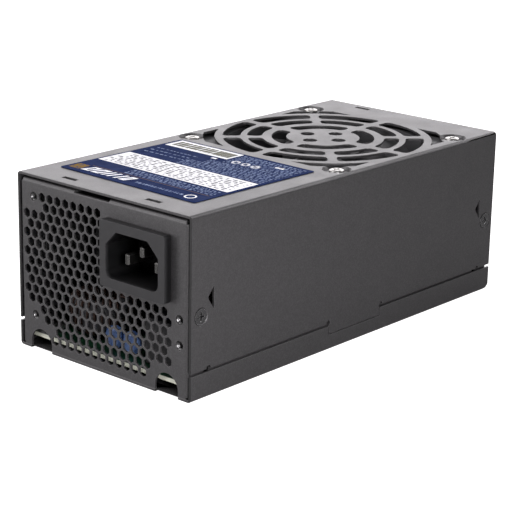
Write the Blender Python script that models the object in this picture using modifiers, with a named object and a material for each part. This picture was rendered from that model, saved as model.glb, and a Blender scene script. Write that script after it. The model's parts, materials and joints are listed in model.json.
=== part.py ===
"""A compact (TFX) computer power supply, as separate pieces that come apart on a bench.

Frame: X runs across the unit, the inlet panel faces -Y, Z is up.  The origin is the centre of
the underside of the chassis.  Lengths below are in millimetres; the helpers turn them into metres.
"""

import math

import bmesh
import bpy
from mathutils import Matrix, Vector

MM = 0.001

# ---------------------------------------------------------------- driving dimensions
WIDTH = 85.0
DEPTH = 175.0            # between the outer faces of the two end panels
HEIGHT = 65.0
SHEET = 0.9              # steel of the chassis and of the cover
BEND = 1.3               # outer radius of each bend
GAP = 0.3                # between neighbouring pieces

FRONT = -DEPTH / 2
REAR = DEPTH / 2
SIDE = WIDTH / 2

# chassis
BASE_SIDE_TOP = 9.3      # low side flanges of the chassis
LIP_SPAN = (10.4, 164.8)  # lips inside the cover's walls, which close the seam from behind
LIP_LOW = 5.5
LIP_TOP = 13.5
LIP_THICK = 0.7
PANEL_HALF = SIDE - SHEET - 0.45  # the end panels stand clear of the cover's walls
PANEL_TOP = 63.2
RETURN_DEPTH = 7.6       # flanges bent back from the end panels
TOP_FLANGE_BREAK = (-13.6, 3.9)
ARCH_X = 31.3
ARCH_RADIUS = 5.4
ARCH_CENTRE_Z = 2.7
ARCH_INTO_FLOOR = 4.8
REAR_CHAMFER = 2.0       # off the lower rear corners of the side flanges
MOUNTING_HOLES = [(-34.25, 57.0), (-34.25, 13.0), (37.2, 28.4), (37.2, 19.3)]
MOUNTING_HOLE_RADIUS = 1.75

# honeycomb of the inlet panel: rows of pointed-top hexagons, as (lowest x, highest x)
HEX_FLATS = 3.2
HEX_PITCH = 4.0
HEX_TOP_ROW_Z = 57.4
HEX_ROWS = (
    [(-30, -2), (-28, 0)]
    + [(-38, -2), (-36, 0)] * 3
    + [(-38, 30), (-36, 32)] * 2
    + [(-30, 30), (-28, 32), (-22, 22), (-24, 20)]
)

# cover
COVER_EDGE = 10.4
TAB_SPAN = (73.0, 102.8)  # from the inlet panel
TAB_LOW = 6.3
NOTCH_LOW = 6.0
RELIEF_DEPTHS = (8.9, 72.4, 103.4, 166.3)
RELIEF_RADIUS = 1.1
SIDE_SCREW_DEPTHS = (5.0, 170.2)
SIDE_SCREW_Z = 29.6
LANCE_DEPTHS = (11.2, 166.0)  # straight edges of the pressed triangles
LANCE_Z = (31.0, 35.5, 39.2)
LANCE_REACH = 3.0
LANCE_SINK = 2.4
LANCE_END = 0.7          # from either end of the upright edge to where it is fully sunk
END_SLOTS = [(-21.1, 5.5), (19.9, 5.5), (-21.6, 170.8)]
END_SLOT_SIZE = (6.8, 2.0)

# fan and grille
FAN_SIZE = 80.0
FAN_THICK = 15.0
FAN_AXIS_Y = FRONT + 118.5
FAN_HOLE = 35.75         # half of the 71.5 mm hole spacing
QUADRANTS = ((-1, -1), (1, -1), (-1, 1), (1, 1))
DIMPLE_DEPTH = 1.1
DIMPLE_RADIUS = 5.8
FAN_TOP = HEIGHT - DIMPLE_DEPTH - SHEET - GAP
FAN_LOW = FAN_TOP - FAN_THICK
GRILLE_HOLE_RADIUS = 2.75
GRILLE_HOLE_CIRCLE = 7.75
GRILLE_RINGS = [         # inner radius, outer radius, slots, spoke width, first spoke in degrees
    (14.2, 19.9, 4, 4.2, 0.0),
    (23.6, 29.5, 8, 3.4, 0.0),
    (32.0, 39.0, 8, 3.6, 0.0),
]
GRILLE_CORNER = 1.9      # radius of the slots' corners
CRESCENT = (42.1, 46.5, 37.6, 38.6)  # inner radius, outer radius, reach along x and along y

# label
LABEL_X = (-35.0, 32.3)
LABEL_DEPTHS = (13.3, 74.6)
LABEL_LIFT = 0.1
LABEL_THICK = 0.15
LABEL_TURN = -1.2        # degrees; it is stuck on a little askew

# mains inlet
INLET_X = 18.2
INLET_Z = 45.4
INLET_FLANGE = (30.8, 23.5, 3.2)
INLET_MOUTH = (24.8, 16.8)
INLET_MOUTH_DEPTH = 16.0
INLET_CHAMFER = 5.0
INLET_RADIUS = 2.6
INLET_WALL = 1.2
INLET_FACE = FRONT - GAP - INLET_FLANGE[2]
PIN_SIZE = (2.0, 4.0)
PIN_SPREAD = 7.0
PIN_EARTH_RISE = 4.0
PIN_TIP = 4.7            # behind the inlet's face
PIN_TAIL = 26.0

# circuit board stack
STANDOFF_TOP = 3.5
INSULATION_Z = (2.0, 2.4)
BOARD_LOW = STANDOFF_TOP + GAP
BOARD_THICK = 1.6
BOARD_TOP = BOARD_LOW + BOARD_THICK
BOARD_DEPTHS = (2.6, 156.0)
BOARD_HALF = 39.2
BOARD_FIXINGS = [(-34.0, 12.0), (34.0, 44.0), (-34.0, 146.0), (34.0, 146.0)]
SEAT = BOARD_TOP + GAP   # height at which components stand

# output sockets: name, centre x, centre z, contacts in a row
SOCKETS = [
    ("main_power_socket", 0.0, 20.5, 12),
    ("processor_power_socket", -26.0, 41.0, 4),
    ("graphics_power_socket", 0.0, 41.0, 4),
    ("drive_power_socket", 26.0, 41.0, 3),
]
CONTACT_PITCH = 4.2
SOCKET_WALL = 1.2
SOCKET_DEPTH = 13.6
SOCKET_MOUTH_DEPTH = 10.4
SOCKET_BOARD_DEPTHS = (159.3, 160.9)


# ---------------------------------------------------------------- scene and helpers
def clear_scene():
    for old in list(bpy.data.objects):
        bpy.data.objects.remove(old, do_unlink=True)


def new_collection(name):
    collection = bpy.data.collections.new(name)
    bpy.context.scene.collection.children.link(collection)
    return collection


def depth(distance):
    """World Y of a point that lies this far behind the inlet panel's outer face."""
    return FRONT + distance


def placed(bm, name, collection):
    mesh = bpy.data.meshes.new(name)
    bm.to_mesh(mesh)
    bm.free()
    part = bpy.data.objects.new(name, mesh)
    collection.objects.link(part)
    return part


AXES = {
    "X": Matrix(((0, 0, 1, 0), (1, 0, 0, 0), (0, 1, 0, 0), (0, 0, 0, 1))),
    "-X": Matrix(((0, 0, -1, 0), (-1, 0, 0, 0), (0, 1, 0, 0), (0, 0, 0, 1))),
    "Y": Matrix(((1, 0, 0, 0), (0, 0, -1, 0), (0, 1, 0, 0), (0, 0, 0, 1))),
    "Z": Matrix.Identity(4),
}


def add_box(bm, low, high):
    """A box between two opposite corners."""
    low, high = Vector(low) * MM, Vector(high) * MM
    size = Matrix.Diagonal((*(high - low), 1.0))
    bmesh.ops.create_cube(bm, size=1.0, matrix=Matrix.Translation((low + high) / 2) @ size)


def add_prism(bm, radius, length, centre, axis="Z", sides=24, far_radius=None):
    """A cylinder, or a cone that ends in far_radius, centred on centre along axis."""
    bmesh.ops.create_cone(
        bm,
        cap_ends=True,
        segments=sides,
        radius1=radius * MM,
        radius2=(radius if far_radius is None else far_radius) * MM,
        depth=length * MM,
        matrix=Matrix.Translation(Vector(centre) * MM) @ AXES[axis],
    )


def add_box_pair(bm, low, high):
    """A box, and its mirror image across the unit."""
    add_box(bm, low, high)
    add_box(bm, (-high[0], low[1], low[2]), (-low[0], high[1], high[2]))


def box(name, low, high, collection, bevel=0.0):
    bm = bmesh.new()
    add_box(bm, low, high)
    part = placed(bm, name, collection)
    if bevel:
        rounding = part.modifiers.new("rounding", "BEVEL")
        rounding.width = bevel * MM
        rounding.segments = 1
        rounding.limit_method = "ANGLE"
    return part


def prism(name, radius, length, centre, collection, axis="Z", sides=24, far_radius=None):
    bm = bmesh.new()
    add_prism(bm, radius, length, centre, axis, sides, far_radius)
    return smooth(placed(bm, name, collection))


def smooth(part):
    part.data.shade_smooth()
    part.data.set_sharp_from_angle(angle=math.radians(35))
    return part


def extruded(name, outlines, length, centre, axis, collection):
    """Closed outlines, one inside another being a hole, drawn across axis and extruded along it."""
    curve = bpy.data.curves.new(name, "CURVE")
    curve.dimensions = "2D"
    curve.fill_mode = "BOTH"
    curve.extrude = length * MM / 2
    for outline in outlines:
        spline = curve.splines.new("POLY")
        spline.points.add(len(outline) - 1)
        for point, corner in zip(spline.points, outline):
            point.co = (corner[0] * MM, corner[1] * MM, 0.0, 1.0)
        spline.use_cyclic_u = True
    drawn = bpy.data.objects.new(name + "_outline", curve)
    collection.objects.link(drawn)
    drawn.matrix_world = Matrix.Translation(Vector(centre) * MM) @ AXES[axis]
    bpy.context.view_layer.update()
    evaluated = drawn.evaluated_get(bpy.context.evaluated_depsgraph_get())
    mesh = bpy.data.meshes.new_from_object(evaluated)
    bm = bmesh.new()
    bm.from_mesh(mesh)
    bmesh.ops.remove_doubles(bm, verts=bm.verts, dist=1e-6)
    bmesh.ops.recalc_face_normals(bm, faces=bm.faces)
    bm.to_mesh(mesh)
    bm.free()
    part = bpy.data.objects.new(name, mesh)
    part.matrix_world = drawn.matrix_world
    collection.objects.link(part)
    bpy.data.objects.remove(drawn, do_unlink=True)
    return part


def turned(name, profile, base, collection, axis="Z", steps=24, ring=False):
    """A profile of (radius, height) from top to bottom, turned about axis through base.

    A ring's profile is closed on itself; any other profile starts and ends on the axis.
    """
    mesh = bpy.data.meshes.new(name)
    points = [(radius * MM, 0.0, height * MM) for radius, height in profile]
    edges = [(i, i + 1) for i in range(len(points) - 1)]
    if ring:
        edges.append((len(points) - 1, 0))
    mesh.from_pydata(points, edges, [])
    part = bpy.data.objects.new(name, mesh)
    collection.objects.link(part)
    part.matrix_world = Matrix.Translation(Vector(base) * MM) @ AXES[axis]
    turn = part.modifiers.new("turn", "SCREW")
    turn.axis = "Z"
    turn.steps = steps
    turn.render_steps = steps
    turn.use_merge_vertices = True
    turn.merge_threshold = 1e-5
    turn.use_smooth_shade = True
    return part


def boolean(part, tool, operation):
    step = part.modifiers.new(operation.lower(), "BOOLEAN")
    step.operation = operation
    step.solver = "EXACT"
    step.object = tool
    tool.hide_render = True
    tool.display_type = "WIRE"


def cut(part, tool):
    boolean(part, tool, "DIFFERENCE")


def join(part, tool):
    boolean(part, tool, "UNION")


def finish(part, colour, roughness, metallic=0.0):
    material = bpy.data.materials.new(part.name)
    material.use_nodes = True
    shader = material.node_tree.nodes["Principled BSDF"]
    shader.inputs["Base Color"].default_value = (*colour, 1.0)
    shader.inputs["Roughness"].default_value = roughness
    shader.inputs["Metallic"].default_value = metallic
    part.data.materials.append(material)
    return part


BLACK_STEEL = ((0.045, 0.045, 0.047), 0.5, 0.0)
BRIGHT_STEEL = ((0.62, 0.62, 0.60), 0.3, 1.0)
BLACK_PLASTIC = ((0.02, 0.02, 0.022), 0.45, 0.0)
ALUMINIUM = ((0.70, 0.71, 0.72), 0.4, 1.0)
BRASS = ((0.65, 0.48, 0.22), 0.35, 1.0)
COPPER = ((0.60, 0.27, 0.12), 0.35, 1.0)
TAPE = ((0.72, 0.60, 0.15), 0.4, 0.0)
FERRITE = ((0.05, 0.05, 0.055), 0.6, 0.0)
BOARD_GREEN = ((0.03, 0.16, 0.07), 0.45, 0.0)


# ---------------------------------------------------------------- outlines
def bent_outline(corners, steps=4):
    """Outline of a sheet whose outer face follows corners and bends left by 90 degrees at each."""
    path = [Vector(corner) for corner in corners]
    first = (path[1] - path[0]).normalized()
    last = (path[-1] - path[-2]).normalized()
    outer = [path[0]]
    inner = [path[0] + Vector((-first.y, first.x)) * SHEET]
    for before, here, after in zip(path, path[1:], path[2:]):
        along = (here - before).normalized()
        onward = (after - here).normalized()
        centre = here + (onward - along) * BEND
        for step in range(steps + 1):
            angle = math.pi / 2 * step / steps
            arm = along * math.sin(angle) - onward * math.cos(angle)
            outer.append(centre + arm * BEND)
            inner.append(centre + arm * (BEND - SHEET))
    outer.append(path[-1])
    inner.append(path[-1] + Vector((-last.y, last.x)) * SHEET)
    return outer + inner[::-1]


def arc(centre, radius, start, end, steps):
    """Points on an arc; the angles are in degrees and both ends are included."""
    points = []
    for step in range(steps + 1):
        angle = math.radians(start + (end - start) * step / steps)
        points.append((centre[0] + radius * math.cos(angle), centre[1] + radius * math.sin(angle)))
    return points


def rectangle(centre, width, height, radius=0.0, steps=3):
    half_x, half_z = width / 2 - radius, height / 2 - radius
    corners = [(half_x, -half_z, -90), (half_x, half_z, 0)]
    corners += [(-half_x, half_z, 90), (-half_x, -half_z, 180)]
    points = []
    for x, z, start in corners:
        corner = (centre[0] + x, centre[1] + z)
        points += arc(corner, radius, start, start + 90, steps) if radius else [corner]
    return points


def inlet_outline(width, height, chamfer, radius):
    """The inlet's shape about its centre: chamfered top corners and rounded bottom ones."""
    half_x, half_z = width / 2, height / 2
    points = [(half_x, half_z - chamfer), (half_x - chamfer, half_z)]
    points += [(chamfer - half_x, half_z), (-half_x, half_z - chamfer)]
    points += arc((radius - half_x, radius - half_z), radius, 180, 270, 4)
    points += arc((half_x - radius, radius - half_z), radius, 270, 360, 4)
    return [(INLET_X + x, INLET_Z + z) for x, z in points]


def ring_slot(inner, outer, start, end, spoke):
    """A slot along a ring between two straight spokes, with rounded corners; angles in degrees."""
    reach = spoke / 2 + GRILLE_CORNER
    outer_inset = math.degrees(math.asin(reach / (outer - GRILLE_CORNER)))
    inner_inset = math.degrees(math.asin(reach / (inner + GRILLE_CORNER)))
    steps = max(3, round((end - start) / 9))

    def corner(distance, angle, first, last):
        along = math.radians(angle)
        centre = (distance * math.cos(along), distance * math.sin(along))
        return arc(centre, GRILLE_CORNER, first, last, 3)

    near, far = inner + GRILLE_CORNER, outer - GRILLE_CORNER
    points = arc((0, 0), outer, start + outer_inset, end - outer_inset, steps)[1:-1]
    points += corner(far, end - outer_inset, end - outer_inset, end + 90)
    points += corner(near, end - inner_inset, end + 90, end - inner_inset + 180)
    points += arc((0, 0), inner, end - inner_inset, start + inner_inset, steps)[1:-1]
    points += corner(near, start + inner_inset, start + inner_inset + 180, start + 270)
    points += corner(far, start + outer_inset, start - 90, start + outer_inset)
    return points


def crescent(side_x, side_y):
    """An outer grille opening: a stretch of a ring, cut off straight beside two of the fan's sides."""
    inner, outer, reach_x, reach_y = CRESCENT
    ends = []
    for radius in (outer, inner):
        ends.append((math.degrees(math.acos(reach_x / radius)), math.degrees(math.asin(reach_y / radius))))
    points = arc((0, 0), outer, *ends[0], 4) + arc((0, 0), inner, *reversed(ends[1]), 5)
    return [(side_x * x, side_y * y) for x, y in points]


# ---------------------------------------------------------------- case
def make_base_chassis(parts, tools):
    trough = bent_outline([(-SIDE, BASE_SIDE_TOP), (-SIDE, 0), (SIDE, 0), (SIDE, BASE_SIDE_TOP)])
    chassis = extruded("base_chassis", [trough], DEPTH, (0, 0, 0), "Y", parts)

    flange_tip = depth(RETURN_DEPTH)
    frame = [
        (flange_tip, PANEL_TOP),
        (FRONT, PANEL_TOP),
        (FRONT, 0),
        (REAR, 0),
        (REAR, PANEL_TOP),
        (-flange_tip, PANEL_TOP),
    ]
    panels_width = 2 * (PANEL_HALF - BEND)
    join(chassis, extruded("end_panels", [bent_outline(frame)], panels_width, (0, 0, 0), "X", tools))

    return_low, return_high = 1.6, PANEL_TOP - BEND
    returns = [(-PANEL_HALF, flange_tip), (-PANEL_HALF, FRONT)]
    returns += [(-x, y) for x, y in reversed(returns)]
    rear_returns = [(-x, -y) for x, y in returns]
    centre = (0, 0, (return_low + return_high) / 2)
    side_returns = [bent_outline(returns), bent_outline(rear_returns)]
    join(chassis, extruded("side_returns", side_returns, return_high - return_low, centre, "Z", tools))

    outside = SIDE - SHEET - GAP
    inside = outside - LIP_THICK
    in_flange = SIDE - SHEET + 0.1
    joggle = BASE_SIDE_TOP - 0.4
    lip = [(inside, LIP_LOW), (in_flange, LIP_LOW), (in_flange, joggle)]
    lip += [(outside, joggle), (outside, LIP_TOP), (inside, LIP_TOP)]
    far_lip = [(-x, z) for x, z in reversed(lip)]
    lip_centre = (0, depth(sum(LIP_SPAN) / 2), 0)
    join(chassis, extruded("inner_lips", [lip, far_lip], LIP_SPAN[1] - LIP_SPAN[0], lip_centre, "Y", tools))

    cut(chassis, make_front_cutter(tools))
    cut(chassis, make_chassis_edge_cutter(tools))
    cut(chassis, make_socket_cutter(tools))
    size = REAR_CHAMFER
    corner = [(REAR - size, 0), (REAR - size - 1, -1), (REAR + 1, -1), (REAR + 1, size + 1)]
    for side in (-SIDE, SIDE):
        name = "rear_chamfer_left" if side < 0 else "rear_chamfer_right"
        cut(chassis, extruded(name, [corner], 4.0, (side, 0, 0), "X", tools))
    return finish(chassis, *BLACK_STEEL)


def make_front_cutter(tools):
    """Everything cut straight through the inlet panel: vents, fixing holes, inlet and arches."""
    inlet_width, inlet_height = (size + 2 * (INLET_WALL + GAP) for size in INLET_MOUTH)
    outlines = [inlet_outline(inlet_width, inlet_height, INLET_CHAMFER, INLET_RADIUS)]
    for centre_x in (-ARCH_X, ARCH_X):
        top = arc((centre_x, ARCH_CENTRE_Z), ARCH_RADIUS, 0, 180, 12)
        outlines.append(top + [(centre_x - ARCH_RADIUS, -1), (centre_x + ARCH_RADIUS, -1)])
    for centre in MOUNTING_HOLES:
        outlines.append(arc(centre, MOUNTING_HOLE_RADIUS, 0, 337.5, 15))
    hex_radius = HEX_FLATS / math.sqrt(3)
    row_height = HEX_PITCH * math.sqrt(3) / 2
    for row, (lowest, highest) in enumerate(HEX_ROWS):
        row_z = HEX_TOP_ROW_Z - row * row_height
        for column in range(int((highest - lowest) / HEX_PITCH) + 1):
            centre = (lowest + column * HEX_PITCH, row_z)
            outlines.append(arc(centre, hex_radius, 30, 330, 5))
    return extruded("front_cutter", outlines, 2.4, (0, FRONT + 0.6, 0), "Y", tools)


def make_chassis_edge_cutter(tools):
    """Floor ends of the arches, the break in the top flange, tab notches and side screw holes."""
    bm = bmesh.new()
    for centre_x in (-ARCH_X, ARCH_X):
        centre = (centre_x, depth(ARCH_INTO_FLOOR - ARCH_RADIUS), 0)
        add_prism(bm, ARCH_RADIUS, 2.6, centre, "Z", 32)
    low, high = TOP_FLANGE_BREAK
    add_box(bm, (low, FRONT - 1, PANEL_TOP - SHEET), (high, depth(RETURN_DEPTH + 1), PANEL_TOP + 1))
    tab_low, tab_high = (depth(end) for end in TAB_SPAN)
    notch_low = (SIDE - SHEET - GAP, tab_low - GAP, NOTCH_LOW)
    add_box_pair(bm, notch_low, (SIDE + 1, tab_high + GAP, BASE_SIDE_TOP + 1))
    for side in (-SIDE, SIDE):
        for distance in SIDE_SCREW_DEPTHS:
            add_prism(bm, 1.7, 8, (side, depth(distance), SIDE_SCREW_Z), "X", 16)
    return placed(bm, "chassis_edge_cutter", tools)


def make_socket_cutter(tools):
    bm = bmesh.new()
    for _, centre_x, centre_z, contacts in SOCKETS:
        width, height = socket_size(contacts)
        half_x, half_z = width / 2 + GAP, height / 2 + GAP
        low = (centre_x - half_x, REAR - 2, centre_z - half_z)
        add_box(bm, low, (centre_x + half_x, REAR + 1, centre_z + half_z))
    return placed(bm, "socket_cutter", tools)


def make_top_cover(parts, tools):
    hood = bent_outline([(SIDE, TAB_LOW), (SIDE, HEIGHT), (-SIDE, HEIGHT), (-SIDE, TAB_LOW)])
    cover = extruded("top_cover", [hood], DEPTH, (0, 0, 0), "Y", parts)

    pressings = bmesh.new()
    for x, y in fan_corners():
        below = (x, y, HEIGHT - SHEET - DIMPLE_DEPTH / 2)
        add_prism(pressings, DIMPLE_RADIUS, DIMPLE_DEPTH + 0.4, below, "Z", 24, DIMPLE_RADIUS + 0.9)
    for side in (-SIDE, SIDE):
        for distance in LANCE_DEPTHS:
            add_lance_back(pressings, side, math.copysign(1.0, side), depth(distance))
    join(cover, placed(pressings, "pressings", tools))
    cut(cover, make_cover_hole_cutter(tools))
    cut(cover, make_cover_edge_cutter(tools))
    cut(cover, make_grille_cutter(tools))
    for number, distance in enumerate(RELIEF_DEPTHS, 1):
        centre = (0, depth(distance), COVER_EDGE)
        cut(cover, prism(f"relief_{number}", RELIEF_RADIUS, WIDTH + 2, centre, tools, "X", 16))
    return finish(cover, *BLACK_STEEL)


def fan_corners():
    return [(x * FAN_HOLE, FAN_AXIS_Y + y * FAN_HOLE) for x, y in QUADRANTS]


def make_cover_hole_cutter(tools):
    """Hollows of the fan screw dimples, and the countersinks and lances of both side walls."""
    bm = bmesh.new()
    for x, y in fan_corners():
        hollow = (x, y, HEIGHT - DIMPLE_DEPTH / 2 + 0.25)
        add_prism(bm, DIMPLE_RADIUS - 1.2, DIMPLE_DEPTH + 0.5, hollow, "Z", 24, DIMPLE_RADIUS)
    for side, axis in ((-SIDE, "-X"), (SIDE, "X")):
        outward = math.copysign(1.0, side)
        for distance in SIDE_SCREW_DEPTHS:
            centre = (side - outward * 0.45, depth(distance), SIDE_SCREW_Z)
            add_prism(bm, 1.8, 1.3, centre, axis, 20, 3.7)
        for distance in LANCE_DEPTHS:
            add_lance(bm, side, outward, depth(distance))
    return placed(bm, "cover_hole_cutter", tools)


def add_lance(bm, side, outward, edge):
    """A pressed triangle: level with the wall at its point, and pushed right in along its edge."""
    low, middle, high = LANCE_Z
    sunk, proud = side - outward * LANCE_SINK, side + outward * 0.4
    corners = [(sunk, edge, low + LANCE_END), (sunk, edge, high - LANCE_END)]
    for x in (side, proud):
        corners += [(x, edge, low), (x, edge, high), (x, edge - LANCE_REACH, middle)]
    verts = [bm.verts.new(Vector(corner) * MM) for corner in corners]
    bmesh.ops.convex_hull(bm, input=verts)


def add_lance_back(bm, side, outward, edge):
    """Steel carried inwards by the press behind a lance, open only along the upright edge."""
    low, middle, high = LANCE_Z
    wall, behind = side - outward * 0.45, side - outward * (LANCE_SINK + 0.7)
    corners = [(wall, edge, low - 0.5), (wall, edge, high + 0.5), (wall, edge - LANCE_REACH - 1.0, middle)]
    corners += [(behind, edge, low + LANCE_END), (behind, edge, high - LANCE_END)]
    verts = [bm.verts.new(Vector(corner) * MM) for corner in corners]
    bmesh.ops.convex_hull(bm, input=verts)


def make_cover_edge_cutter(tools):
    """Leaves the locating tabs, and cuts the end slots and the holes under the fan screws."""
    bm = bmesh.new()
    tab_low, tab_high = (depth(end) for end in TAB_SPAN)
    add_box(bm, (-SIDE - 1, FRONT - 1, TAB_LOW - 1), (SIDE + 1, tab_low, COVER_EDGE))
    add_box(bm, (-SIDE - 1, tab_high, TAB_LOW - 1), (SIDE + 1, REAR + 1, COVER_EDGE))
    half_x, half_y = END_SLOT_SIZE[0] / 2, END_SLOT_SIZE[1] / 2
    for x, distance in END_SLOTS:
        low = (x - half_x, depth(distance) - half_y, HEIGHT - 2)
        add_box(bm, low, (x + half_x, depth(distance) + half_y, HEIGHT + 1))
    for x, y in fan_corners():
        add_prism(bm, 2.1, 6, (x, y, HEIGHT - 2), "Z", 16)
    return placed(bm, "cover_edge_cutter", tools)


def make_grille_cutter(tools):
    outlines = []
    for quarter in range(4):
        angle = math.radians(90 * quarter)
        centre = (GRILLE_HOLE_CIRCLE * math.cos(angle), GRILLE_HOLE_CIRCLE * math.sin(angle))
        outlines.append(arc(centre, GRILLE_HOLE_RADIUS, 0, 337.5, 15))
    outlines += [crescent(side_x, side_y) for side_x, side_y in QUADRANTS]
    for inner, outer, slots, spoke, first in GRILLE_RINGS:
        for slot in range(slots):
            start = first + slot * 360 / slots
            outlines.append(ring_slot(inner, outer, start, start + 360 / slots, spoke))
    return extruded("grille_cutter", outlines, 4, (0, FAN_AXIS_Y, HEIGHT - 1), "Z", tools)


def make_label(parts):
    half_x = (LABEL_X[1] - LABEL_X[0]) / 2
    half_y = (LABEL_DEPTHS[1] - LABEL_DEPTHS[0]) / 2
    label = box("rating_label", (-half_x, -half_y, 0), (half_x, half_y, LABEL_THICK), parts)
    centre = Vector((sum(LABEL_X) / 2, depth(sum(LABEL_DEPTHS) / 2), HEIGHT + LABEL_LIFT))
    label.location = centre * MM
    label.rotation_euler.z = math.radians(LABEL_TURN)
    finish(label, (0.02, 0.03, 0.09), 0.35)


# ---------------------------------------------------------------- fasteners
def make_screw(name, profile, base, axis, cross, parts, tools):
    """A turned screw whose head top is at height 0, with a cross recess in it."""
    screw = turned(name, profile, base, parts, axis, 14)
    reach, blade = cross
    tip = blade * 0.7
    plus = [(reach, -tip), (reach, tip), (blade, blade), (tip, reach), (-tip, reach), (-blade, blade)]
    plus += [(-x, -y) for x, y in plus]
    recess = extruded(name + "_recess", [plus], 1.4, (0, 0, 0), "Z", tools)
    recess.matrix_world = screw.matrix_world
    cut(screw, recess)
    return finish(screw, *BRIGHT_STEEL)


def make_fasteners(parts, tools):
    flat_head = [(0, 0), (2.85, 0), (2.85, -0.1), (1.4, -1.1), (1.4, -6.5), (0.9, -7.2), (0, -7.2)]
    number = 0
    for side, axis in ((-SIDE, "-X"), (SIDE, "X")):
        for distance in SIDE_SCREW_DEPTHS:
            number += 1
            flush = side - math.copysign(0.05, side)
            base = (flush, depth(distance), SIDE_SCREW_Z)
            make_screw(f"side_screw_{number}", flat_head, base, axis, (1.7, 0.4), parts, tools)

    pan_head = [(0, 0), (1.9, 0), (2.7, -0.3), (2.9, -0.8), (1.7, -0.8)]
    pan_head += [(1.7, -10.6), (1.0, -11.6), (0, -11.6)]
    head_top = HEIGHT - DIMPLE_DEPTH + GAP + 0.8
    for number, (x, y) in enumerate(fan_corners(), 1):
        make_screw(f"fan_screw_{number}", pan_head, (x, y, head_top), "Z", (1.7, 0.4), parts, tools)

    board_head = [(0, 0), (1.8, 0), (2.6, -0.5), (2.6, -1.5), (1.1, -1.5), (1.1, -6.0), (0, -6.0)]
    post = [(1.5, STANDOFF_TOP), (2.8, STANDOFF_TOP), (2.8, SHEET + GAP), (1.5, SHEET + GAP)]
    for number, (x, distance) in enumerate(BOARD_FIXINGS, 1):
        foot = (x, depth(distance), 0)
        standoff = turned(f"board_standoff_{number}", post, foot, parts, "Z", 6, ring=True)
        finish(standoff, *BRASS)
        base = (x, depth(distance), SEAT + 1.5)
        finish(turned(f"board_screw_{number}", board_head, base, parts, "Z", 10), *BRIGHT_STEEL)


# ---------------------------------------------------------------- mains inlet
def pin_places():
    """Name, x and z of the three inlet contacts."""
    return [
        ("inlet_pin_neutral", INLET_X - PIN_SPREAD, INLET_Z - PIN_EARTH_RISE / 2),
        ("inlet_pin_live", INLET_X + PIN_SPREAD, INLET_Z - PIN_EARTH_RISE / 2),
        ("inlet_pin_earth", INLET_X, INLET_Z + PIN_EARTH_RISE / 2),
    ]


def make_inlet(parts, tools):
    flange_width, flange_height, flange_thick = INLET_FLANGE
    flange_outline = rectangle((INLET_X, INLET_Z), flange_width, flange_height, 0.8)
    flange_centre = (0, INLET_FACE + flange_thick / 2, 0)
    housing = extruded("inlet_housing", [flange_outline], flange_thick, flange_centre, "Y", parts)

    body_width, body_height = (size + 2 * INLET_WALL for size in INLET_MOUTH)
    body_depth = INLET_MOUTH_DEPTH + 3.0
    body_outline = inlet_outline(body_width, body_height, INLET_CHAMFER, INLET_RADIUS)
    body_centre = (0, INLET_FACE + 1 + (body_depth - 1) / 2, 0)
    join(housing, extruded("inlet_body", [body_outline], body_depth - 1, body_centre, "Y", tools))

    mouth_outline = inlet_outline(*INLET_MOUTH, INLET_CHAMFER, INLET_RADIUS)
    mouth_centre = (0, INLET_FACE + INLET_MOUTH_DEPTH / 2 - 0.5, 0)
    mouth = extruded("inlet_mouth", [mouth_outline], INLET_MOUTH_DEPTH + 1, mouth_centre, "Y", tools)
    cut(housing, mouth)

    slots = bmesh.new()
    for name, x, z in pin_places():
        half_x, half_z = PIN_SIZE[0] / 2, PIN_SIZE[1] / 2
        low = (x - half_x - 0.2, INLET_FACE + INLET_MOUTH_DEPTH - 1, z - half_z - 0.2)
        add_box(slots, low, (x + half_x + 0.2, INLET_FACE + body_depth + 1, z + half_z + 0.2))
        low = (x - half_x, INLET_FACE + PIN_TIP, z - half_z)
        pin = box(name, low, (x + half_x, INLET_FACE + PIN_TAIL, z + half_z), parts, 0.4)
        finish(pin, *BRIGHT_STEEL)
    cut(housing, placed(slots, "inlet_pin_slots", tools))
    finish(housing, *BLACK_PLASTIC)


# ---------------------------------------------------------------- fan
def make_fan_frame(parts, tools):
    half = FAN_SIZE / 2
    bore = 38.6
    outline = rectangle((0, 0), FAN_SIZE, FAN_SIZE, 3.5)
    circle = arc((0, 0), bore, 0, 350, 35)
    holes = [arc((x, y - FAN_AXIS_Y), 2.15, 0, 330, 11) for x, y in fan_corners()]
    flange = 3.2
    low_centre = (0, FAN_AXIS_Y, FAN_LOW + flange / 2)
    frame = extruded("fan_frame", [outline, circle, *holes], flange, low_centre, "Z", parts)
    top_centre = (0, FAN_AXIS_Y, FAN_TOP - flange / 2)
    join(frame, extruded("fan_top_flange", [outline, circle, *holes], flange, top_centre, "Z", tools))
    wall = [arc((0, 0), half - 0.2, 0, 350, 35), circle]
    middle = (0, FAN_AXIS_Y, (FAN_LOW + FAN_TOP) / 2)
    join(frame, extruded("fan_wall", wall, FAN_THICK - 1, middle, "Z", tools))

    struts = bmesh.new()
    centre = (0, FAN_AXIS_Y, FAN_LOW + 0.9)
    add_prism(struts, 14.5, 1.8, centre, "Z", 24)
    motor_plate = placed(struts, "motor_plate", tools)
    for quarter in range(4):
        strut = bmesh.new()
        add_box(strut, (12, -1.6, 0.1), (bore + 0.6, 1.6, 1.7))
        arm = placed(strut, f"strut_{quarter}", tools)
        turn = Matrix.Rotation(math.radians(45 + 90 * quarter), 4, "Z")
        arm.matrix_world = Matrix.Translation(Vector((0, FAN_AXIS_Y, FAN_LOW)) * MM) @ turn
        join(frame, arm)
    join(frame, motor_plate)
    finish(frame, *BLACK_PLASTIC)


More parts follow.
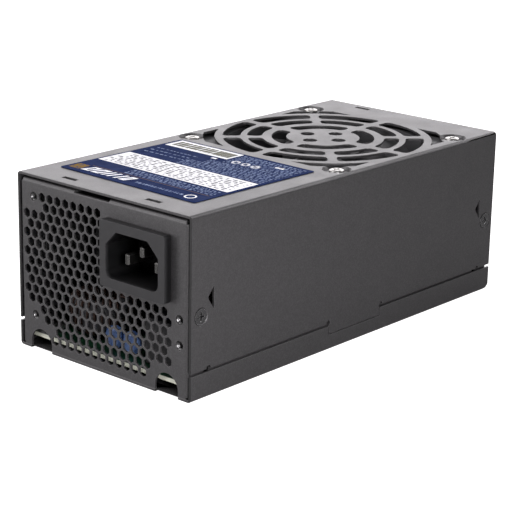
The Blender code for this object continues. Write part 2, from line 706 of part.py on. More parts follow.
def blade_mesh(count, root, tip, chord_degrees, rise):
    """Open blade surfaces around the axis, each twisted more steeply at its root."""
    bm = bmesh.new()
    across, along = 4, 4
    for blade in range(count):
        middle = 360 * blade / count
        rows = []
        for i in range(along + 1):
            share = i / along
            radius = root + (tip - root) * share
            sweep = middle + 14 * share
            row = []
            for j in range(across + 1):
                place = j / across - 0.5
                angle = math.radians(sweep + place * chord_degrees * (1.0 - 0.12 * share))
                height = rise * (1.0 - 0.25 * share) * (place - 0.35 * (place * place - 0.25))
                point = Vector((radius * math.cos(angle), radius * math.sin(angle), height))
                row.append(bm.verts.new(point * MM))
            rows.append(row)
        for near, far in zip(rows, rows[1:]):
            for j in range(across):
                bm.faces.new((near[j], far[j], far[j + 1], near[j + 1]))
    return bm


def make_fan_rotor(parts, tools):
    top = FAN_TOP - 0.9
    low = FAN_LOW + 3.0
    profile = [(0, top), (14.6, top), (15.6, top - 1.0), (15.6, low)]
    profile += [(14.1, low), (14.1, top - 1.6), (0, top - 1.6)]
    heights = [(radius, z - low) for radius, z in profile]
    rotor = turned("fan_rotor", heights, (0, FAN_AXIS_Y, low), parts, "Z", 28)
    blades = placed(blade_mesh(7, 15.0, 37.6, 44.0, 8.2), "fan_blades", tools)
    blades.location = Vector((0, FAN_AXIS_Y, (FAN_TOP + FAN_LOW) / 2 + 0.8)) * MM
    thickness = blades.modifiers.new("thickness", "SOLIDIFY")
    thickness.thickness = 1.1 * MM
    thickness.offset = 0.0
    join(rotor, blades)
    finish(rotor, *BLACK_PLASTIC)


def make_fan_core(parts):
    axis = (0, FAN_AXIS_Y, 0)
    plate_top = FAN_LOW + 1.8 + GAP
    cap_under = FAN_TOP - 0.9 - 1.6 - GAP

    def ring(name, inner, outer, low, high, steps=16):
        profile = [(inner, high), (outer, high), (outer, low), (inner, low)]
        return turned(name, profile, axis, parts, "Z", steps, ring=True)

    shaft = [(0, cap_under), (0.8, cap_under), (1.0, cap_under - 0.3), (1.0, plate_top + 0.3)]
    shaft.append((0, plate_top + 0.3))
    finish(turned("fan_shaft", shaft, axis, parts, "Z", 16), *BRIGHT_STEEL)
    finish(ring("fan_bearing", 1.1, 3.2, plate_top, cap_under - 1.0), *BRASS)
    finish(ring("fan_stator", 3.6, 10.8, plate_top + 0.6, cap_under - 1.5), *COPPER)
    finish(ring("fan_magnet_ring", 12.0, 13.7, plate_top + 1.6, cap_under - 0.2, 24), *FERRITE)


# ---------------------------------------------------------------- circuit
def make_boards(parts, tools):
    low_y, high_y = (depth(end) for end in BOARD_DEPTHS)
    low, high = (-BOARD_HALF, low_y, BOARD_LOW), (BOARD_HALF, high_y, BOARD_TOP)
    board = box("main_circuit_board", low, high, parts)
    sheet_edge = BOARD_HALF + 0.4
    under, over = INSULATION_Z
    sheet_low, sheet_high = (-sheet_edge, low_y + 3.4, under), (sheet_edge, high_y + 1.0, over)
    sheet = box("insulation_sheet", sheet_low, sheet_high, parts)
    for part, radius, height in ((board, 1.6, BOARD_LOW), (sheet, 3.2, under)):
        holes = bmesh.new()
        for x, distance in BOARD_FIXINGS:
            add_prism(holes, radius, 6, (x, depth(distance), height), "Z", 16)
        cut(part, placed(holes, part.name + "_holes", tools))
    finish(board, *BOARD_GREEN)
    finish(sheet, (0.80, 0.78, 0.70), 0.6)

    low = (36.4, depth(92), SEAT)
    finish(box("control_board", low, (38.0, depth(124), SEAT + 22), parts), *BOARD_GREEN)
    near, far = (depth(end) for end in SOCKET_BOARD_DEPTHS)
    finish(box("socket_board", (-37.5, near, 10.5), (37.5, far, 58.0), parts), *BOARD_GREEN)


def socket_size(contacts):
    return contacts * CONTACT_PITCH + 2 * SOCKET_WALL, 2 * CONTACT_PITCH + 2 * SOCKET_WALL


def make_sockets(parts, tools):
    """Rectangular sockets on the rear panel, with two rows of square contacts in each."""
    back = REAR - SOCKET_DEPTH
    floor = REAR - SOCKET_MOUTH_DEPTH
    contact_tip = floor + 5.2
    for name, centre_x, centre_z, contacts in SOCKETS:
        width, height = socket_size(contacts)
        low = (centre_x - width / 2, back, centre_z - height / 2)
        socket = box(name, low, (centre_x + width / 2, REAR, centre_z + height / 2), parts)
        mouth = bmesh.new()
        half_x, half_z = width / 2 - SOCKET_WALL, height / 2 - SOCKET_WALL
        low = (centre_x - half_x, floor, centre_z - half_z)
        add_box(mouth, low, (centre_x + half_x, REAR + 1, centre_z + half_z))
        cut(socket, placed(mouth, name + "_mouth", tools))
        pins = bmesh.new()
        for column in range(contacts):
            x = centre_x + (column - (contacts - 1) / 2) * CONTACT_PITCH
            for z in (centre_z - CONTACT_PITCH / 2, centre_z + CONTACT_PITCH / 2):
                add_box(pins, (x - 0.6, floor - 1, z - 0.6), (x + 0.6, contact_tip, z + 0.6))
        join(socket, placed(pins, name + "_contacts", tools))
        finish(socket, *BLACK_PLASTIC)


def comb_outline(low, high, base, teeth, tooth):
    """A heat sink in plan: a plate from low to high, with square teeth along its high-x face."""
    pitch = (high[1] - low[1]) / (teeth - 0.5)
    points = [(low[0], low[1])]
    for number in range(teeth):
        start = low[1] + number * pitch
        root = low[0] + base
        if number:
            points.append((root, start))
        points += [(high[0], start), (high[0], start + tooth)]
        if number < teeth - 1:
            points.append((root, start + tooth))
    end = low[1] + (teeth - 1) * pitch + tooth
    points += [(low[0], end)]
    return points


def make_heatsinks(parts):
    primary = comb_outline((-38.4, depth(34)), (-31.0, depth(104)), 3.0, 10, 2.6)
    centre = (0, 0, SEAT + 17)
    finish(extruded("primary_heatsink", [primary], 34, centre, "Z", parts), *ALUMINIUM)
    plan = comb_outline((122.0 + FRONT, -26.0), (128.5 + FRONT, 34.0), 3.0, 9, 2.4)
    secondary = [(-y, x) for x, y in plan]
    finish(extruded("secondary_heatsink", [secondary], 32, (0, 0, SEAT + 16), "Z", parts), *ALUMINIUM)


def make_can(name, radius, height, x, distance, colour, parts):
    """An aluminium capacitor can with a crimp groove low down and a rounded top edge."""
    profile = [
        (0, height),
        (radius - 0.8, height),
        (radius, height - 0.8),
        (radius, 3.2),
        (radius - 0.6, 2.6),
        (radius, 2.0),
        (radius, 0),
        (0, 0),
    ]
    can = turned(name, profile, (x, depth(distance), SEAT), parts, "Z", 18)
    finish(can, colour, 0.35)


def make_wound_ring(name, inner, outer, thick, centre, axis, colour, parts):
    soft = min(thick, outer - inner) * 0.28
    half = thick / 2
    profile = [
        (inner + soft, half),
        (outer - soft, half),
        (outer, half - soft),
        (outer, soft - half),
        (outer - soft, -half),
        (inner + soft, -half),
        (inner, soft - half),
        (inner, half - soft),
    ]
    finish(turned(name, profile, centre, parts, axis, 18, ring=True), *colour)


def make_transformers(parts, tools):
    """The main transformer's ferrite frame is open front to back, and its winding sits inside."""
    x, distance = 6.0, 101.0
    half_x, half_y, height = 17.0, 13.0, 30.0
    leg = 5.0
    low = (x - half_x, depth(distance) - 6.5, SEAT)
    core = box("transformer_core", low, (x + half_x, depth(distance) + 6.5, SEAT + height), parts)
    window = bmesh.new()
    low = (x - half_x + leg, depth(distance) - 20, SEAT + leg)
    add_box(window, low, (x + half_x - leg, depth(distance) + 20, SEAT + height - leg))
    cut(core, placed(window, "transformer_window", tools))
    finish(core, *FERRITE)
    clear = leg + GAP
    low = (x - half_x + clear, depth(distance) - half_y, SEAT + clear)
    high = (x + half_x - clear, depth(distance) + half_y, SEAT + height - clear)
    finish(box("transformer_winding", low, high, parts, 2.5), *TAPE)
    low = (16.0, depth(66), SEAT)
    finish(box("standby_transformer", low, (34.0, depth(82), SEAT + 18), parts, 1.2), *TAPE)


def make_components(parts):
    low = (14.5, depth(6), SEAT)
    finish(box("line_capacitor", low, (36.5, depth(17), SEAT + 17), parts, 0.8), (0.55, 0.50, 0.12), 0.4)
    for number, x in enumerate((-2.6, 6.2), 1):
        centre = (x, depth(9), SEAT + 4.6)
        profile = [(0, 1.7), (3.2, 1.7), (4.2, 0.8), (4.2, -0.8), (3.2, -1.7), (0, -1.7)]
        disc = turned(f"safety_capacitor_{number}", profile, centre, parts, "Y", 18)
        finish(disc, (0.05, 0.20, 0.50), 0.35)
    choke_centre = (-20, depth(20), SEAT + 8)
    make_wound_ring("line_filter_choke", 5.5, 12.5, 14, choke_centre, "Z", COPPER, parts)
    correction_centre = (18, depth(48), SEAT + 15)
    make_wound_ring("correction_choke", 7.0, 15.0, 13, correction_centre, "Y", COPPER, parts)
    make_wound_ring("output_choke", 4.0, 9.5, 9, (-20, depth(140), SEAT + 5), "Z", COPPER, parts)
    low = (-24.0, depth(38), SEAT)
    finish(box("bridge_rectifier", low, (-2.0, depth(42), SEAT + 18), parts, 0.5), *FERRITE)
    fuse = prism("fuse", 2.6, 20, (20, depth(25), SEAT + 3), parts, "X", 16)
    finish(fuse, (0.70, 0.72, 0.70), 0.2)
    make_can("bulk_capacitor", 14.0, 36.0, -13.0, 66.0, (0.04, 0.04, 0.05), parts)
    for number, x in enumerate((-2.0, 11.0, 24.0), 1):
        make_can(f"output_capacitor_{number}", 5.2, 20.0, x, 141.0, (0.03, 0.03, 0.04), parts)


# ---------------------------------------------------------------- leads
def make_lead(name, start, leaving, end, radius, colour, parts):
    """A captive wire that leaves start along leaving, and stands straight up out of the board at end."""
    start, end = Vector(start), Vector(end)
    bends = (start + Vector(leaving), end + Vector((0, 0, 14)))
    curve = bpy.data.curves.new(name, "CURVE")
    curve.dimensions = "3D"
    curve.bevel_depth = radius * MM
    curve.bevel_resolution = 2
    curve.use_fill_caps = True
    spline = curve.splines.new("POLY")
    steps = 9
    spline.points.add(steps)
    for step, point in enumerate(spline.points):
        share = step / steps
        rest = 1 - share
        place = start * rest**3 + bends[0] * 3 * share * rest**2
        place += bends[1] * 3 * share**2 * rest + end * share**3
        point.co = (*(place * MM), 1.0)
    lead = bpy.data.objects.new(name, curve)
    parts.objects.link(lead)
    finish(lead, colour, 0.45)


def make_leads(parts):
    colours = {
        "inlet_pin_neutral": ("neutral_lead", (0.02, 0.08, 0.45), 2.0),
        "inlet_pin_live": ("live_lead", (0.16, 0.06, 0.02), 33.0),
        "inlet_pin_earth": ("earth_lead", (0.05, 0.40, 0.08), 14.0),
    }
    for pin, x, z in pin_places():
        name, colour, foot = colours[pin]
        start = (x, INLET_FACE + PIN_TAIL + GAP, z)
        make_lead(name, start, (0, 13, 0), (foot, depth(31), SEAT), 1.2, colour, parts)
    start = (37.0, depth(84), FAN_LOW - GAP)
    end = (36.6, depth(88), SEAT)
    make_lead("fan_lead", start, (0, 0, -14), end, 0.8, (0.03, 0.03, 0.03), parts)


def main():
    clear_scene()
    parts = new_collection("power_supply_unit")
    tools = new_collection("cutters")
    make_base_chassis(parts, tools)
    make_top_cover(parts, tools)
    make_label(parts)
    make_fasteners(parts, tools)
    make_inlet(parts, tools)
    make_fan_frame(parts, tools)
    make_fan_rotor(parts, tools)
    make_fan_core(parts)
    make_boards(parts, tools)
    make_sockets(parts, tools)
    make_heatsinks(parts)
    make_transformers(parts, tools)
    make_components(parts)
    make_leads(parts)


main()
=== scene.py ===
"""The looks of a compact computer power supply: fine pieces, materials, light and camera.

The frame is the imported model's: X runs across the unit, the inlet panel faces -Y, and Z is up.
Small sizes are named in millimetres and turned into metres where they are used.
"""

import json
import math
import random

import bmesh
import bpy
from mathutils import Matrix, Quaternion, Vector


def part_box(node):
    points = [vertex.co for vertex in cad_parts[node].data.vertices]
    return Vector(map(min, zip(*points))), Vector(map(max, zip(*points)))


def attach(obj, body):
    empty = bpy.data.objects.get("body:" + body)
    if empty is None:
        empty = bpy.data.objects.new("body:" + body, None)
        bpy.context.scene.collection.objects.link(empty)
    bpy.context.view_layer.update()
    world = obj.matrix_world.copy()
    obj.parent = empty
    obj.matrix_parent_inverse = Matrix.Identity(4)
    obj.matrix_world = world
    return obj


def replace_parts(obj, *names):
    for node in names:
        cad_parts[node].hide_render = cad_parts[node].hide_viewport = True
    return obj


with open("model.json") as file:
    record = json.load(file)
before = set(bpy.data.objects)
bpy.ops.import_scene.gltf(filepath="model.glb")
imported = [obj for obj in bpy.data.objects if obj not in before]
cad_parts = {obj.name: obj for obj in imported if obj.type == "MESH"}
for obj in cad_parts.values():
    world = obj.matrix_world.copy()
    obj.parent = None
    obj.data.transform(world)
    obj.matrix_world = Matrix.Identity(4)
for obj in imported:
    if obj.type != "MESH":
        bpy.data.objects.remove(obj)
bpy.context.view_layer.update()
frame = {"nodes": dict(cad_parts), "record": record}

MM = 0.001
RANGE_SOCKETS = ("From Min", "From Max", "To Min", "To Max")

# camera: the place it looks at, and where it stands round that place
AIM = Vector((0.0377, -0.0501, 0.0426))
DISTANCE = 0.600
AZIMUTH = 41.18          # degrees, from the inlet panel towards the unit's right side
ELEVATION = 17.08
ROLL = 1.11
LENS = 122.6

# the room's light fades from full strength to almost none towards the photographer's side
DARK_SIDE = (0.55, -0.60, 0.45)
ROOM_SHADE = (-0.15, 0.75, 0.75, 0.03)  # alignment with that side where the fade starts and ends, strengths
LIGHT_COLOUR = (1.0, 0.972, 1.0)
PAPER = (0.34, 0.34, 0.34)
PAPER_GLOW = (0.06, 1.10)  # what the paper sheds on the unit, and how bright it looks itself
MIDDLE = (0.0, 0.0, 0.03)
LIGHTS = (  # name, place, what it points at, size in metres, watts
    ("backdrop_glow", (-1.9, 2.2, 1.0), MIDDLE, (3.4, 1.6), 50.0),
    ("overhead", (-0.9, -1.0, 1.8), MIDDLE, (2.0, 2.0), 50.0),
    ("edge_strip", (0.6, 1.45, 1.25), MIDDLE, (1.2, 0.8), 14.0),
    ("front_left", (-0.75, -0.95, 0.15), MIDDLE, (0.5, 0.4), 4.5),
    ("near_side", (0.30, -0.20, 0.13), (0.04, -0.06, 0.03), (0.12, 0.12), 1.1),
)

# printed label, in millimetres
LABEL_SIZE = (67.3, 61.3)
LABEL_TURN = -1.2        # degrees
LABEL_CORNER = 0.8
LABEL_THICK = 0.15
PRINT_THICK = 0.02
SMALL_PRINT = (  # rows, first row's v, step to the next, start and end u, height, words, spaces
    (1, 3.9, 0.0, 34.5, 57.5, 1.3, (0.5, 1.3), (0.45, 0.8)),
    (8, 47.4, 1.6, 35.0, 65.5, 0.75, (0.4, 2.2), (0.3, 1.0)),
    (5, 34.4, 1.6, 24.0, 65.5, 0.75, (0.4, 2.2), (0.3, 1.0)),
    (3, 42.4, 1.6, 30.0, 65.5, 0.75, (0.4, 2.2), (0.3, 1.0)),
    (3, 38.5, 3.4, 3.0, 24.0, 0.7, (0.5, 2.0), (0.5, 1.6)),
    (4, 10.6, 1.5, 22.0, 65.0, 0.8, (0.5, 1.8), (0.4, 1.1)),
)
STROKE_GROUPS = ((7.6, 2.6), (12.6, 2.6), (17.8, 0.0), (20.6, 0.0), (24.0, 0.0), (26.8, 1.8))
STROKE_SPAN = (3.0, 8.4)
STROKE_WIDTH = 1.2
STROKE_SLANT = 0.4

# connectors, in millimetres
CONTACT_PITCH = 4.2
CONTACT_HALF = 0.62
CELL_WALL = 0.5
CELL_DEPTH = 10.35
CELL_RECESS = 0.6        # from the panel's outer face in to the edge of the walls between columns
MIDDLE_RECESS = 0.9      # and to the edge of the wall between the two rows
CONTACT_TIP_HALF = 0.35
CONTACT_LENGTHS = (4.8, 5.5)  # from the cell's floor to where the taper starts and to the tip

# threaded fixing holes in the inlet panel, in millimetres
FIXING_HOLES = ((-34.25, 57.0), (-34.25, 13.0), (37.2, 28.4), (37.2, 19.3))
THREAD_OUTER = 1.74
THREAD_ROOT = 1.66
THREAD_CREST = 1.48
THREAD_PITCH = 0.5
THREAD_TURNS = 5
THREAD_SET_BACK = 0.5
CHAMFER_DEPTH = 0.10
FIRST_CREST = 0.30

# the turned rim of a capacitor's sleeve: how far in from its side, and how high, in millimetres
CAN_RIM = ((1.3, 0.0), (0.5, 0.0), (0.7, 0.35), (1.2, 0.35))

SHARP_EDGE = math.radians(32)  # edges steeper than this stay crisp
AXIS_TURNS = {
    "Y": Matrix.Rotation(math.radians(-90), 4, "X"),
    "Z": Matrix.Identity(4),
}


# ---------------------------------------------------------------- stage
def towards_camera():
    azimuth, elevation = math.radians(AZIMUTH), math.radians(ELEVATION)
    return Vector((
        math.sin(azimuth) * math.cos(elevation),
        -math.cos(azimuth) * math.cos(elevation),
        math.sin(elevation),
    ))


def make_camera():
    data = bpy.data.cameras.new("camera")
    data.lens = LENS
    data.sensor_width = 36.0
    data.clip_start = 0.01
    data.clip_end = 50.0
    back = towards_camera()
    camera = bpy.data.objects.new("camera", data)
    camera.rotation_mode = "QUATERNION"
    camera.location = AIM + back * DISTANCE
    level = (-back).to_track_quat("-Z", "Y")
    camera.rotation_quaternion = level @ Quaternion((0, 0, 1), math.radians(ROLL))
    bpy.context.scene.collection.objects.link(camera)
    bpy.context.scene.camera = camera


def add_light(name, place, aim, size, power):
    data = bpy.data.lights.new(name, "AREA")
    data.shape = "RECTANGLE"
    data.size, data.size_y = size
    data.energy = power
    data.color = LIGHT_COLOUR
    light = bpy.data.objects.new(name, data)
    light.location = place
    light.visible_camera = False
    light.rotation_euler = (Vector(aim) - Vector(place)).to_track_quat("-Z", "Y").to_euler()
    bpy.context.scene.collection.objects.link(light)


def make_stage():
    world = bpy.data.worlds.new("studio")
    world.use_nodes = True
    tree = world.node_tree
    room = tree.nodes["Background"]
    direction = tree.nodes.new("ShaderNodeTexCoord")
    facing = tree.nodes.new("ShaderNodeVectorMath")
    facing.operation = "DOT_PRODUCT"
    facing.inputs[1].default_value = Vector(DARK_SIDE).normalized()
    shade = tree.nodes.new("ShaderNodeMapRange")
    shade.interpolation_type = "SMOOTHSTEP"
    for socket, value in zip(RANGE_SOCKETS, ROOM_SHADE):
        shade.inputs[socket].default_value = value
    tree.links.new(direction.outputs["Generated"], facing.inputs[0])
    tree.links.new(facing.outputs["Value"], shade.inputs["Value"])
    tree.links.new(shade.outputs["Result"], room.inputs["Strength"])
    bpy.context.scene.world = world
    bpy.context.scene.view_settings.view_transform = "Standard"

    bm = bmesh.new()
    bmesh.ops.create_circle(bm, cap_ends=True, segments=64, radius=6.0)
    floor = new_piece("floor", bm)
    floor.location.z = -0.0002
    paper = bpy.data.materials.new("paper")
    paper.use_nodes = True
    shader = paper.node_tree.nodes["Principled BSDF"]
    shader.inputs["Base Color"].default_value = (*PAPER, 1.0)
    shader.inputs["Roughness"].default_value = 0.9
    shader.inputs["Emission Color"].default_value = (1.0, 1.0, 1.0, 1.0)
    ray = paper.node_tree.nodes.new("ShaderNodeLightPath")
    glow = paper.node_tree.nodes.new("ShaderNodeMapRange")
    glow.inputs["To Min"].default_value, glow.inputs["To Max"].default_value = PAPER_GLOW
    paper.node_tree.links.new(ray.outputs["Is Camera Ray"], glow.inputs["Value"])
    paper.node_tree.links.new(glow.outputs["Result"], shader.inputs["Emission Strength"])
    floor.data.materials.append(paper)

    for light in LIGHTS:
        add_light(*light)


# ---------------------------------------------------------------- materials
class Finish:
    """A Principled material, and helpers that wire procedural detail into it.

    Sizes of the detail are in millimetres.
    """

    def __init__(self, name, colour, roughness, metallic=0.0, **uniform):
        self.material = bpy.data.materials.new(name)
        self.material.use_nodes = True
        self.tree = self.material.node_tree
        self.shader = self.tree.nodes["Principled BSDF"]
        self.shader.inputs["Base Color"].default_value = (*colour, 1.0)
        self.shader.inputs["Roughness"].default_value = roughness
        self.shader.inputs["Metallic"].default_value = metallic
        for socket, value in uniform.items():
            self.shader.inputs[socket.replace("_", " ")].default_value = value
        self.place = self.add("ShaderNodeTexCoord").outputs["Object"]
        self.last_bump = None

    def add(self, kind, **settings):
        node = self.tree.nodes.new(kind)
        for name, value in settings.items():
            setattr(node, name, value)
        return node

    def link(self, source, target):
        self.tree.links.new(source, target)

    def stretched(self, stretch):
        mapping = self.add("ShaderNodeMapping")
        self.link(self.place, mapping.inputs["Vector"])
        mapping.inputs["Scale"].default_value = stretch
        return mapping.outputs["Vector"]

    def noise(self, size, detail=2.0, stretch=(1, 1, 1)):
        texture = self.add("ShaderNodeTexNoise")
        texture.inputs["Scale"].default_value = 1.0 / (size * MM)
        texture.inputs["Detail"].default_value = detail
        self.link(self.stretched(stretch), texture.inputs["Vector"])
        return texture.outputs["Fac"]

    def cells(self, size, stretch=(1, 1, 1)):
        texture = self.add("ShaderNodeTexVoronoi")
        texture.inputs["Scale"].default_value = 1.0 / (size * MM)
        self.link(self.stretched(stretch), texture.inputs["Vector"])
        return texture.outputs["Distance"]

    def waves(self, size, axis="X", distortion=0.0, profile="SIN"):
        texture = self.add("ShaderNodeTexWave", bands_direction=axis, wave_profile=profile)
        texture.inputs["Scale"].default_value = 0.314 / (size * MM)
        texture.inputs["Distortion"].default_value = distortion
        self.link(self.place, texture.inputs["Vector"])
        return texture.outputs["Fac"]

    def remap(self, source, low, high, first, last):
        """Source from low to high becomes first to last, and is held there."""
        node = self.add("ShaderNodeMapRange")
        self.link(source, node.inputs["Value"])
        for socket, value in zip(RANGE_SOCKETS, (low, high, first, last)):
            node.inputs[socket].default_value = value
        return node.outputs["Result"]

    def colours(self, factor, first, second):
        node = self.add("ShaderNodeMix", data_type="RGBA")
        self.link(factor, node.inputs["Factor"])
        for socket, colour in ((node.inputs[6], first), (node.inputs[7], second)):
            if isinstance(colour, tuple):
                socket.default_value = (*colour, 1.0)
            else:
                self.link(colour, socket)
        return node.outputs[2]

    def colour(self, source):
        self.link(source, self.shader.inputs["Base Color"])
        return self

    def roughness(self, source):
        self.link(source, self.shader.inputs["Roughness"])
        return self

    def bump(self, source, height):
        """Adds relief of this height in millimetres, on top of any relief given before."""
        node = self.add("ShaderNodeBump")
        node.inputs["Distance"].default_value = height * MM
        self.link(source, node.inputs["Height"])
        if self.last_bump:
            self.link(self.last_bump.outputs["Normal"], node.inputs["Normal"])
        self.last_bump = node
        self.link(node.outputs["Normal"], self.shader.inputs["Normal"])
        return self

    def edge_for_wear_and_highlight(self, radius):
        """From 0 on flat stretches to 1 along edges sharper than this radius."""
        bevel = self.add("ShaderNodeBevel", samples=4)
        bevel.inputs["Radius"].default_value = radius * MM
        facing = self.add("ShaderNodeNewGeometry").outputs["Normal"]
        dot = self.add("ShaderNodeVectorMath", operation="DOT_PRODUCT")
        self.link(bevel.outputs["Normal"], dot.inputs[0])
        self.link(facing, dot.inputs[1])
        return self.remap(dot.outputs["Value"], 0.80, 0.99, 1.0, 0.0)


def powder_coat():
    """Fine-textured satin black over steel, rubbed greyer along its edges.

    At the inlet end the cover's cut wall edges, beside the gap to the inlet panel, are made near black:
    painted shade of that gap.
    """
    base, rubbed = (0.028, 0.0272, 0.028), (0.10, 0.098, 0.098)
    paint = Finish("powder_coat", base, 0.42, Specular_IOR_Level=0.62)
    grain = paint.noise(0.45, 3.0)
    clouds = paint.noise(9.0, 3.0)
    edge = paint.edge_for_wear_and_highlight(0.35)
    speckled = paint.colours(paint.remap(grain, 0.40, 0.70, 0.0, 1.0), base, (0.050, 0.0488, 0.050))
    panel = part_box("base_chassis")
    across = paint.add("ShaderNodeSeparateXYZ")
    paint.link(paint.place, across.inputs["Vector"])
    sideways = paint.add("ShaderNodeMath", operation="ABSOLUTE")
    paint.link(across.outputs["X"], sideways.inputs[0])
    beside = paint.remap(sideways.outputs["Value"], panel[1].x - 1.0 * MM, panel[1].x - 0.9 * MM, 0.0, 1.0)
    ahead = paint.remap(across.outputs["Y"], panel[0].y + 0.05 * MM, panel[0].y + 0.3 * MM, 1.0, 0.0)
    # painted shade: near black on the cover's front cut edges, beside the gap to the inlet panel
    painted_edge_shade = paint.add("ShaderNodeMath", operation="MULTIPLY")
    paint.link(beside, painted_edge_shade.inputs[0])
    paint.link(ahead, painted_edge_shade.inputs[1])
    worn = paint.colours(edge, speckled, rubbed)
    paint.colour(paint.colours(painted_edge_shade.outputs["Value"], worn, (0.003, 0.003, 0.003)))
    paint.roughness(paint.remap(clouds, 0.3, 0.7, 0.40, 0.46))
    paint.bump(grain, 0.024).bump(paint.noise(2.2), 0.012)
    return paint.material


def moulded(name, colour, roughness, grain_size=1.0):
    """Injection-moulded plastic: a fine spark-eroded grain with soft flow clouds."""
    plastic = Finish(name, colour, roughness, Specular_IOR_Level=0.5)
    grain = plastic.noise(0.25 * grain_size, 2.0)
    lighter = tuple(value * 1.35 + 0.004 for value in colour)
    plastic.colour(plastic.colours(plastic.noise(6.0, 3.0), colour, lighter))
    plastic.roughness(plastic.remap(plastic.noise(3.5), 0.3, 0.7, roughness - 0.05, roughness + 0.07))
    plastic.bump(grain, 0.01 * grain_size)
    return plastic.material


def plated(name, colour, roughness, brushed=(1, 1, 1), rim=None, edge=0.12):
    """Plated or machined metal with fine tool marks, a faint tarnish and perhaps a rim of lighter colour
    along its edges, a painted highlight.

    Edge is how far the rim reaches in from each edge, in millimetres.
    """
    metal = Finish(name, colour, roughness, 1.0)
    marks = metal.noise(0.3, 3.0, brushed)
    dull = tuple(value * 0.78 for value in colour)
    tarnish_and_edge_highlight = metal.colours(metal.remap(metal.noise(2.5, 3.0), 0.45, 0.75, 0.0, 1.0), colour, dull)
    # painted highlight: the rim colour lightens the metal along its edges
    if rim:
        tarnish_and_edge_highlight = metal.colours(metal.edge_for_wear_and_highlight(edge), tarnish_and_edge_highlight, rim)
    metal.colour(tarnish_and_edge_highlight)
    metal.roughness(metal.remap(marks, 0.3, 0.7, roughness - 0.06, roughness + 0.08))
    metal.bump(marks, 0.006)
    return metal.material


def label_film():
    film = Finish("label_film", (0.014, 0.023, 0.085), 0.6, IOR=1.08, Specular_IOR_Level=0.2)
    cloud = film.remap(film.noise(4.0, 4.0), 0.35, 0.7, 0.0, 1.0)
    film.colour(film.colours(cloud, (0.006, 0.016, 0.068), (0.013, 0.027, 0.096)))
    film.roughness(film.remap(film.noise(12.0), 0.3, 0.7, 0.55, 0.65))
    film.bump(film.noise(14.0), 0.03).bump(film.noise(0.2), 0.003)
    return film.material


def printed(name, colour, fade, patch=0.6):
    """Ink on the label, thinner in patches of this size so that the film shows through a little."""
    ink = Finish(name, colour, 0.6, IOR=1.08, Specular_IOR_Level=0.2)
    thin = ink.remap(ink.noise(patch, 3.0), 0.40, 0.65, 0.0, fade)
    ink.colour(ink.colours(thin, colour, (0.03, 0.045, 0.13)))
    ink.roughness(ink.remap(ink.noise(1.5), 0.3, 0.7, 0.55, 0.70))
    return ink.material


def laminate():
    """Solder mask over copper tracks, with the pale glass fibre bare along the sawn edges."""
    board = Finish("board_laminate", (0.012, 0.06, 0.026), 0.35)
    weave = board.waves(0.9, "X", 0.4)
    weft = board.waves(0.9, "Y", 0.4)
    tracks = board.remap(board.cells(7.0, (1.0, 1.6, 1.0)), 0.50, 0.53, 0.0, 1.0)
    mask = board.colours(tracks, (0.014, 0.075, 0.032), (0.007, 0.038, 0.018))
    up = board.add("ShaderNodeSeparateXYZ")
    board.link(board.add("ShaderNodeNewGeometry").outputs["True Normal"], up.inputs["Vector"])
    level = board.add("ShaderNodeMath", operation="ABSOLUTE")
    board.link(up.outputs["Z"], level.inputs[0])
    flat = board.remap(level.outputs["Value"], 0.4, 0.6, 0.0, 1.0)
    board.colour(board.colours(flat, (0.84, 0.86, 0.72), mask))
    board.roughness(board.remap(board.noise(5.0), 0.3, 0.7, 0.28, 0.42))
    board.bump(weave, 0.008).bump(weft, 0.008).bump(tracks, 0.03)
    return board.material


def insulation_film():
    film = Finish("insulation_film", (0.54, 0.52, 0.43), 0.55)
    fibres = film.noise(0.6, 4.0, (1.0, 0.2, 1.0))
    film.colour(film.colours(fibres, (0.62, 0.60, 0.50), (0.46, 0.44, 0.36)))
    film.bump(fibres, 0.02)
    return film.material


def ferrite():
    core = Finish("ferrite", (0.05, 0.05, 0.055), 0.6)
    pores = core.remap(core.cells(0.5), 0.1, 0.5, 0.0, 1.0)
    core.colour(core.colours(pores, (0.028, 0.028, 0.03), (0.065, 0.065, 0.07)))
    core.roughness(core.remap(core.noise(3.0), 0.3, 0.7, 0.5, 0.7)).bump(pores, 0.02)
    return core.material


def winding_tape():
    """Polyester tape in overlapping wraps."""
    tape = Finish("yellow_tape", (0.72, 0.60, 0.15), 0.35, Specular_IOR_Level=0.6)
    wraps = tape.waves(6.0, "Z", 0.6, "SAW")
    tape.colour(tape.colours(wraps, (0.80, 0.64, 0.14), (0.60, 0.45, 0.07)))
    tape.roughness(tape.remap(tape.noise(2.0), 0.3, 0.7, 0.28, 0.45)).bump(wraps, 0.06)
    return tape.material


def enamelled_copper():
    wire = Finish("copper_winding", (0.05, 0.026, 0.019), 0.38, 0.5)
    wire.colour(wire.colours(wire.noise(2.0, 3.0), (0.06, 0.032, 0.023), (0.035, 0.019, 0.014)))
    wire.roughness(wire.remap(wire.noise(0.8), 0.3, 0.7, 0.30, 0.45)).bump(wire.noise(0.4), 0.01)
    return wire.material


def sleeve(name, colour, darker, roughness=0.3):
    """Shrink sleeve or dipped coating: glossy, with a slight orange-peel."""
    skin = Finish(name, colour, roughness, Specular_IOR_Level=0.6)
    skin.colour(skin.colours(skin.noise(3.0, 3.0), colour, darker))
    skin.roughness(skin.remap(skin.noise(1.2), 0.3, 0.7, roughness - 0.06, roughness + 0.08))
    skin.bump(skin.noise(0.9, 2.0), 0.02)
    return skin.material


def fuse_glass():
    glass = Finish("fuse_glass", (0.86, 0.90, 0.88), 0.08, Specular_IOR_Level=0.7, Transmission_Weight=0.6)
    glass.roughness(glass.remap(glass.noise(1.5), 0.3, 0.7, 0.05, 0.14)).bump(glass.noise(3.0), 0.01)
    return glass.material


